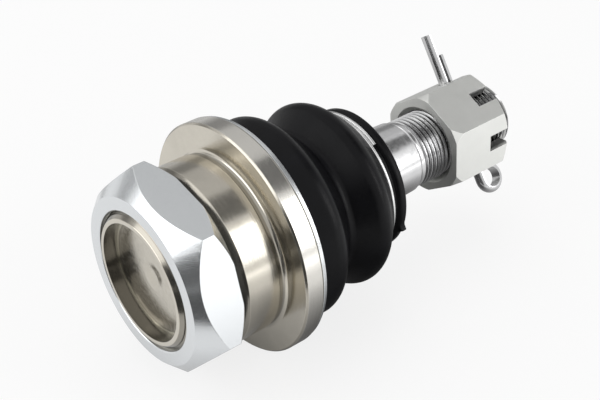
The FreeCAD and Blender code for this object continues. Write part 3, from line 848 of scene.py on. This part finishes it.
class MakeBoot(bpy.types.Operator):
    """Mould the two bellows of the boot, its foot and its lip"""

    bl_idname = "balljoint.boot"
    bl_label = "Boot"

    def execute(self, context):
        size = settings().boot
        foot_start, tip_end = low("boot"), high("boot")
        foot_inner = settings().housing.collar_radius + SIDE_GAP
        foot_outer = foot_inner + size.foot_wall
        neck_inner = ring_radius("boot_neck_bush")
        groove_end = size.groove_start + size.groove_width
        inner_one, inner_two = size.crown_one - size.wall, size.crown_two - size.wall
        inner_waist = size.waist - size.waist_wall
        crown_one = (size.crown_one_start, size.crown_one)
        crown_one_far = (size.crown_one_end, size.crown_one)
        crown_two = (size.crown_two_start, size.crown_two)
        crown_two_far = (size.crown_two_end, size.crown_two)
        valley = (size.waist_place - size.valley, size.waist)
        valley_far = (size.waist_place + size.valley, size.waist)
        groove_edge = (size.groove_start, size.groove + size.wall)
        disc_near, disc_far = (size.disc_start, size.disc), (size.disc_end, size.disc)
        tip_root, tip = (size.disc_end, size.tip), (tip_end, size.tip)
        crown_arc, valley_arc = (1.35 * MM, 9), (0.75 * size.valley, 6)
        lower = turned([
            (foot_start, foot_inner),
            (foot_start, foot_outer),
            (size.foot_end, foot_outer),
            crown_one,
            crown_one_far,
            valley,
            (size.waist_place, size.waist),
            (size.waist_place, inner_waist),
            (size.crown_one_end, inner_one),
            (size.crown_one_start, inner_one),
            (size.foot_end, foot_inner),
        ], 0, arcs=[
            (*crown_one, 0.6 * MM, 5), (*crown_one_far, *crown_arc), (*valley, *valley_arc),
            (size.foot_end, foot_outer, 0.8 * MM, 4)])
        upper = turned([
            (size.waist_place, inner_waist),
            (size.waist_place, size.waist),
            valley_far,
            crown_two,
            crown_two_far,
            groove_edge,
            (size.groove_start, size.groove),
            (groove_end, size.groove),
            disc_near,
            disc_far,
            tip_root,
            tip,
            (tip_end, neck_inner),
            (size.groove_start - size.wall, neck_inner),
            (size.crown_two_end, inner_two),
            (size.crown_two_start, inner_two),
        ], 0, arcs=[
            (*valley_far, *valley_arc), (*crown_two, *crown_arc), (*crown_two_far, *crown_arc),
            (*groove_edge, 0.5 * MM, 4), (*disc_near, 0.45 * MM, 4), (*disc_far, 0.6 * MM, 5),
            (*tip_root, 0.5 * MM, 3), (*tip, 0.5 * MM, 4), (tip_end, neck_inner, 0.4 * MM, 3)])
        self.raise_flash(upper)
        for mesh in (lower, upper):
            self.let_sag(mesh)
        foot_piece = finished(
            lower, "boot_foot_bellow", "rubber", None, ["boot"], 40, even=False)
        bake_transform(foot_piece)
        lip_piece = finished(
            upper, "boot_lip_bellow", "rubber", None, ["boot"], 40, even=False)
        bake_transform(lip_piece)
        return {"FINISHED"}

    def raise_flash(self, mesh):
        """Pulls a small pointed tab of moulding flash out of the lip's edge."""
        size = settings().boot
        middle, half_width = math.radians(196), math.radians(3.2)
        for corner in mesh.verts:
            place, across, up = corner.co
            radius = math.hypot(across, up)
            off = abs(math.remainder(math.atan2(up, across) - middle, 2 * math.pi))
            if place > size.disc_start and radius > size.disc - 0.5 * MM and off < half_width:
                grown = 1 + size.flash * (1 - off / half_width) / radius
                corner.co.y *= grown
                corner.co.z *= grown

    def let_sag(self, mesh):
        """Lets the second bellow hang down a little between the foot and the lip."""
        size = settings().boot
        middle = (size.crown_two_start + size.crown_two_end) / 2
        for corner in mesh.verts:
            place = corner.co.x
            if place < middle:
                share = (place - size.crown_one_end) / (middle - size.crown_one_end)
            else:
                share = (size.groove_start - place) / (size.groove_start - middle)
            corner.co.z -= size.sag * gentle(share)


class MakeWireRing(bpy.types.Operator):
    """Coil the wire ring in the boot's neck groove, its ends side by side"""

    bl_idname = "balljoint.wire_ring"
    bl_label = "Wire ring"

    def execute(self, context):
        size = settings().boot
        lowest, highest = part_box("boot_wire_ring")
        middle = (lowest.x + highest.x) / 2
        mean = ring_radius("boot_wire_ring") - size.wire_radius
        mesh = bmesh.new()
        section = bmesh.ops.create_circle(
            mesh, cap_ends=True, segments=14, radius=size.wire_radius,
            matrix=Matrix.Translation((middle - size.wire_pitch / 2, 0, mean))
            @ Matrix.Rotation(math.pi / 2, 4, "X"))
        first_end = section["verts"][0].link_faces[0]
        geometry = [first_end, *first_end.edges, *first_end.verts]
        # The wire shifts over to its second turn from this part of the first turn to its end
        crossing = 0.82
        steps, turns = 280, 1.56
        step_turn = 2 * math.pi * turns / steps
        place = 0
        for step in range(1, steps + 1):
            wound = turns * step / steps
            wanted = size.wire_pitch * gentle((wound - crossing) / (1 - crossing))
            geometry = swept(mesh, geometry, step_turn, 1, wanted - place)["geom_last"]
            place = wanted
        bmesh.ops.recalc_face_normals(mesh, faces=mesh.faces)
        bmesh.ops.rotate(
            mesh, cent=(0, 0, 0), matrix=Matrix.Rotation(size.wire_start, 3, "X"),
            verts=mesh.verts)
        finished(mesh, "wire_ring", "wire", "boot_collar", ["boot_wire_ring"], 45)
        return {"FINISHED"}


class MakeStud(bpy.types.Operator):
    """Turn the ball, neck, journal and taper of the stud, drill it and cut its thread"""

    bl_idname = "balljoint.stud"
    bl_label = "Ball stud"

    def execute(self, context):
        size = settings().stud
        ball_end, end = low("ball_stud"), high("ball_stud")
        thread_start = size.taper_end + size.relief_width
        band_end = thread_start + size.plain_band
        thread_stop = end - size.end_chamfer + size.thread_radius - size.thread_root
        ball = [(ball_end, 0)]
        ball_steps = 32
        first = math.acos(-ball_end / size.ball_radius)
        last = math.pi - math.asin(size.neck_radius / size.ball_radius)
        for step in range(ball_steps + 1):
            turn = first + (last - first) * step / ball_steps
            ball.append((-size.ball_radius * math.cos(turn), size.ball_radius * math.sin(turn)))
        neck_corner = (size.neck_end, size.neck_radius)
        core = turned(ball + [
            neck_corner,
            (size.flare_end, size.journal_radius),
            (size.journal_end, size.journal_radius),
            (size.taper_end, size.taper_radius),
            (size.taper_end + size.relief_chamfer, size.relief_radius),
            (thread_start - size.relief_chamfer, size.relief_radius),
            (thread_start, size.thread_radius),
            (band_end, size.thread_radius),
            (band_end + 0.5 * MM, size.thread_root),
            (thread_stop, size.thread_root),
            (end, size.thread_radius - size.end_chamfer),
            (end, 0),
        ], 0.08 * MM, closed=False, arcs=[(*neck_corner, 1.4 * MM, 8)])
        piece = finished(core, "stud_core", "steel", None, ["ball_stud"], 30, even=False)
        self.drill(piece)
        shade_evenly(piece)
        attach(piece, "stud")

        def thread_clip(place):
            run_in = size.thread_root + 1.1 * (place - thread_start - 0.4 * MM)
            leaving = size.thread_radius + end - place - size.end_chamfer
            return min(max(run_in, 0), size.thread_radius, leaving)

        thread = threaded(
            band_end - size.pitch, end + 0.5 * size.pitch, size.thread_root, size.thread_radius,
            size.pitch, thread_clip)
        trim(thread, band_end, thread_stop)
        hole_axis = Vector((0, -math.sin(size.turn), math.cos(size.turn)))
        hole_middle = STUD_AXIS * size.hole_place
        drilled = []
        for face in thread.faces:
            away = face.calc_center_median() - hole_middle
            if (away - hole_axis * away.dot(hole_axis)).length < size.hole_radius:
                drilled.append(face)
        bmesh.ops.delete(thread, geom=drilled, context="FACES")
        finished(thread, "stud_thread", "steel_thread_painted_shade", "stud", [], 60)
        return {"FINISHED"}

    def drill(self, piece):
        """Drills the cotter pin's cross hole through the stud."""
        size = settings().stud
        mesh = bmesh.new()
        bmesh.ops.create_cone(
            mesh, cap_ends=True, segments=48, radius1=size.hole_radius, radius2=size.hole_radius,
            depth=4 * size.thread_radius,
            matrix=Matrix.Rotation(size.turn, 4, "X") @ Matrix.Translation((size.hole_place, 0, 0)))
        bit = placed(mesh, "drill")
        cut = piece.modifiers.new("CrossHole", "BOOLEAN")
        cut.operation = "DIFFERENCE"
        cut.solver = "EXACT"
        cut.object = bit
        graph = bpy.context.evaluated_depsgraph_get()
        drilled = bpy.data.meshes.new_from_object(piece.evaluated_get(graph))
        piece.modifiers.clear()
        piece.data = drilled
        bpy.data.objects.remove(bit)


class MakeCastleNut(bpy.types.Operator):
    """Ease the edges of the castle nut"""

    bl_idname = "balljoint.castle_nut"
    bl_label = "Castle nut"

    def execute(self, context):
        make_nut("castle_nut", "stud", "satin", 0.2 * MM)
        return {"FINISHED"}


class DressInner(bpy.types.Operator):
    """Finish the bearing pack, the bush and the cotter pin"""

    bl_idname = "balljoint.inner"
    bl_label = "Inner pieces"

    def execute(self, context):
        for node, finish in (
                ("lower_bearing_seat", "pale_plastic"), ("upper_bearing_seat", "pale_plastic"),
                ("preload_spring", "dark_steel"), ("thrust_washer", "dark_steel"),
                ("cover_seal", "rubber"), ("boot_neck_bush", "black_plastic"),
                ("cotter_pin", "pin")):
            dress(node, finish)
        return {"FINISHED"}


# Stage

FLOOR_HEIGHT = SOLIDS_BOX[0].z - 0.2 * MM
FLOOR_CARD_HEIGHT = FLOOR_HEIGHT + 0.15 * MM
MIDDLE = STUD_AXIS * 0.03
BLACK = (0, 0, 0, 1)
WHITE = (1, 1, 1, 1)


class MakeStage(bpy.types.Operator):
    """Lay the white floor, hang the lights and set the camera"""

    bl_idname = "balljoint.stage"
    bl_label = "Stage"

    def execute(self, context):
        mesh = bmesh.new()
        bmesh.ops.create_grid(
            mesh, x_segments=1, y_segments=1, size=4,
            matrix=Matrix.Translation((0, 0, FLOOR_HEIGHT)))
        floor = placed(mesh, "floor")
        floor.data.materials.append(floor_paint())
        light_world(context.scene)
        hang_lamps(context.scene)
        lay_cards()
        set_camera(context.scene)
        context.scene.view_settings.view_transform = "Standard"
        return {"FINISHED"}


def floor_paint():
    """White floor. It shows part of its white by itself, so the shadow on it stays light."""
    finish = Finish("floor_paint")
    finish.set(Roughness=0.9, Base_Color=(0.93, 0.93, 0.93, 1), Specular_IOR_Level=0.0)
    white = finish.add("ShaderNodeEmission")
    mix = finish.add("ShaderNodeMixShader")
    share = finish.add("ShaderNodeMath", operation="MULTIPLY")
    share.inputs[1].default_value = 0.8
    finish.join(seen_rays(finish.nodes, finish.links), share.inputs[0])
    finish.join(share.outputs[0], mix.inputs["Fac"])
    finish.join(finish.shader.outputs[0], mix.inputs[1])
    finish.join(white.outputs[0], mix.inputs[2])
    finish.join(mix.outputs[0], finish.nodes["Material Output"].inputs["Surface"])
    return finish.material


def seen_rays(nodes, links):
    """One for what the camera sees, straight or through a reflection or glass, else zero."""
    path = nodes.new("ShaderNodeLightPath")
    seen = path.outputs["Is Camera Ray"]
    for ray in ("Is Glossy Ray", "Is Transmission Ray"):
        either = nodes.new("ShaderNodeMath")
        either.operation = "MAXIMUM"
        links.new(seen, either.inputs[0])
        links.new(path.outputs[ray], either.inputs[1])
        seen = either.outputs[0]
    return seen


def light_world(scene):
    """A world that is white to the camera and in reflections, and softer as a light."""
    world = bpy.data.worlds.new("studio")
    scene.world = world
    world.use_nodes = True
    nodes, links = world.node_tree.nodes, world.node_tree.links
    background = nodes["Background"]
    background.inputs["Color"].default_value = WHITE
    strength = nodes.new("ShaderNodeMapRange")
    strength.inputs["To Min"].default_value = 0.6
    strength.inputs["To Max"].default_value = 1.0
    links.new(seen_rays(nodes, links), strength.inputs["Value"])
    links.new(strength.outputs[0], background.inputs["Strength"])


def around(azimuth, elevation, distance):
    """Place at this compass angle from +Y, height angle and distance from the object's middle."""
    turn, rise = math.radians(azimuth), math.radians(elevation)
    return MIDDLE + distance * Vector((
        math.sin(turn) * math.cos(rise), math.cos(turn) * math.cos(rise), math.sin(rise)))


def facing_middle(place):
    """Rotation that turns a lamp or a card towards the object."""
    return (MIDDLE - place).to_track_quat("-Z", "Y").to_euler()


def hang_lamps(scene):
    """Soft lamps: a tall box at the right front, a wide box at the left and a top light."""
    for name, azimuth, elevation, width, height, power, mirrored in (
            ("right_box", 146, 25, 0.26, 0.60, 1.5, True),
            ("left_box", -74, 33, 0.95, 0.34, 1.9, True),
            ("top_light", 20, 75, 0.7, 0.7, 1.6, False)):
        lamp = bpy.data.lights.new(name, "AREA")
        lamp.shape = "RECTANGLE"
        lamp.size = width
        lamp.size_y = height
        lamp.energy = power
        holder = bpy.data.objects.new(name, lamp)
        holder.location = around(azimuth, elevation, 0.9)
        holder.rotation_euler = facing_middle(holder.location)
        holder.visible_glossy = mirrored
        scene.collection.objects.link(holder)


# Standing cards: compass angle from +Y, height angle, width, height and brightness
CARDS = (
    ("back_low", 25, -2, 1.05, 0.30, 0.45),
    ("back_middle", 28, 17, 1.05, 0.30, 0.27),
    ("back_high", 30, 38, 1.00, 0.36, 0.60),
    ("top_back", 52, 56, 0.50, 0.30, 0.64),
    ("top_right", 104, 56, 0.56, 0.44, 0.16),
    ("back_left", -25, 13, 0.26, 0.22, 0.42),
    ("front_left", -130, 0, 0.98, 0.72, 0.08),
)

# Lying cards: compass angle from +Y, distance, width, reach, brightness and whether they are round
FLOOR_CARDS = (
    # The first two cards glow brighter than white: a painted pool of lamplight on the table for the metal
    # to reflect
    ("near_light_pool", 150, 0.20, 0.30, 0.10, 1.2, False),
    ("far_light_pool", 150, 0.45, 0.44, 0.40, 2.1, False),
    ("grey_table", 29, 0.36, 0.30, 0.52, 0.55, False),
    ("dark_table", -128, 0.36, 0.34, 0.52, 0.09, True),
)

# The round card under the object, which carries a painted shadow: its middle, and its height just above the
# floor
BASE_MIDDLE = (0.042, -0.002, FLOOR_HEIGHT + 0.1 * MM)


def lay_cards():
    """Cards round the object and on the floor that only show as soft reflections in the metal."""
    for name, azimuth, elevation, width, height, level in CARDS:
        place = around(azimuth, elevation, 0.85)
        turn = facing_middle(place).to_matrix().to_4x4()
        lay_card(
            name, Matrix.Translation(place) @ turn, width, height, card_paint(name, level))
    for name, azimuth, distance, width, reach, level, rounded in FLOOR_CARDS:
        place = around(azimuth, 0, distance)
        place.z = FLOOR_CARD_HEIGHT
        turn = Matrix.Rotation(math.radians(-azimuth), 4, "Z")
        lay_card(
            name, Matrix.Translation(place) @ turn, width, reach, card_paint(name, level),
            rounded)
    lay_card("shadow_base_card", Matrix.Translation(BASE_MIDDLE), 0.16, 0.18, painted_shadow_paint(), True)


def lay_card(name, matrix, width, height, paint, rounded=False):
    """Adds one card that neither the camera nor the lamps see."""
    mesh = bmesh.new()
    if rounded:
        bmesh.ops.create_circle(mesh, cap_ends=True, segments=48, radius=0.5)
    else:
        bmesh.ops.create_grid(mesh, x_segments=1, y_segments=1, size=0.5)
    bmesh.ops.scale(mesh, vec=(width, height, 1), verts=mesh.verts)
    bmesh.ops.transform(mesh, matrix=matrix, verts=mesh.verts)
    card = placed(mesh, name)
    card.data.materials.append(paint)
    card.visible_camera = False
    card.visible_diffuse = False
    card.visible_shadow = False


def card_paint(name, level):
    """Even card paint that needs no light."""
    paint = Finish(name + "_paint")
    paint.set(Base_Color=BLACK, Specular_IOR_Level=0.0)
    paint.set(Emission_Color=WHITE, Emission_Strength=level)
    return paint.material


def painted_shadow_paint():
    """Paint of the round base card: a painted shadow, dark under the object and white at its edge, that the
    metal reflects in place of the floor.
    """
    paint = Finish("dim_base_paint")
    paint.set(Base_Color=BLACK, Specular_IOR_Level=0.0, Emission_Strength=1.0)
    middle = paint.add("ShaderNodeVectorMath", operation="SUBTRACT")
    middle.inputs[1].default_value = BASE_MIDDLE
    paint.join(paint.place(), middle.inputs[0])
    ratio = paint.add("ShaderNodeVectorMath", operation="DIVIDE")
    ratio.inputs[1].default_value = (0.08, 0.09, 1)
    paint.join(middle.outputs[0], ratio.inputs[0])
    distance = paint.add("ShaderNodeVectorMath", operation="LENGTH")
    paint.join(ratio.outputs[0], distance.inputs[0])
    fade = paint.spread(distance.outputs["Value"], 0, 1, 0.42, 1.0)
    # Painted shadow: dark grey under the object, fading to white at the card's edge
    paint.drive("Emission Color", paint.tint(fade, (0.12, 0.12, 0.12), (0.95, 0.95, 0.95)))
    return paint.material


# Camera: compass angle, height angle, the place it looks at, distance and lens in millimetres
CAMERA_AZIMUTH = -39.61
CAMERA_ELEVATION = 35.91
CAMERA_AIM = (0.0290, 0.00077, 0.00082)
CAMERA_DISTANCE = 0.3267
CAMERA_LENS = 72.98


def set_camera(scene):
    """Camera at the photograph's angle, with the horizon level."""
    turn, rise = math.radians(CAMERA_AZIMUTH), math.radians(CAMERA_ELEVATION)
    back = Vector((
        math.sin(turn) * math.cos(rise), -math.cos(turn) * math.cos(rise), math.sin(rise)))
    view = bpy.data.cameras.new("camera")
    view.lens = CAMERA_LENS
    view.sensor_width = 36.0
    camera = bpy.data.objects.new("camera", view)
    camera.location = Vector(CAMERA_AIM) + back * CAMERA_DISTANCE
    camera.rotation_euler = (math.pi / 2 - rise, 0, turn)
    scene.collection.objects.link(camera)
    scene.camera = camera


class BallJointPanel(bpy.types.Panel):
    """Buttons for the pieces of the ball joint"""

    bl_idname = "VIEW3D_PT_ball_joint"
    bl_label = "Ball joint"
    bl_space_type = "VIEW_3D"
    bl_region_type = "UI"
    bl_category = "Ball joint"

    def draw(self, context):
        for operator in OPERATORS:
            self.layout.operator(operator.bl_idname)


OPERATORS = (
    MakeHousing, MakeCover, MakeClampNut, MakeRings, MakeBoot, MakeWireRing, MakeStud,
    MakeCastleNut, DressInner, MakeStage)
GROUPS = (HousingSizes, StudSizes, BootSizes, FinishColours, BallJointSettings)


def register():
    for kind in (*GROUPS, *OPERATORS, BallJointPanel):
        bpy.utils.register_class(kind)
    bpy.types.Scene.ball_joint = PointerProperty(type=BallJointSettings)


def unregister():
    del bpy.types.Scene.ball_joint
    for kind in reversed((*GROUPS, *OPERATORS, BallJointPanel)):
        bpy.utils.unregister_class(kind)


def main():
    register()
    for operator in OPERATORS:
        family, name = operator.bl_idname.split(".")
        getattr(getattr(bpy.ops, family), name)()


if __name__ == "__main__":
    main()
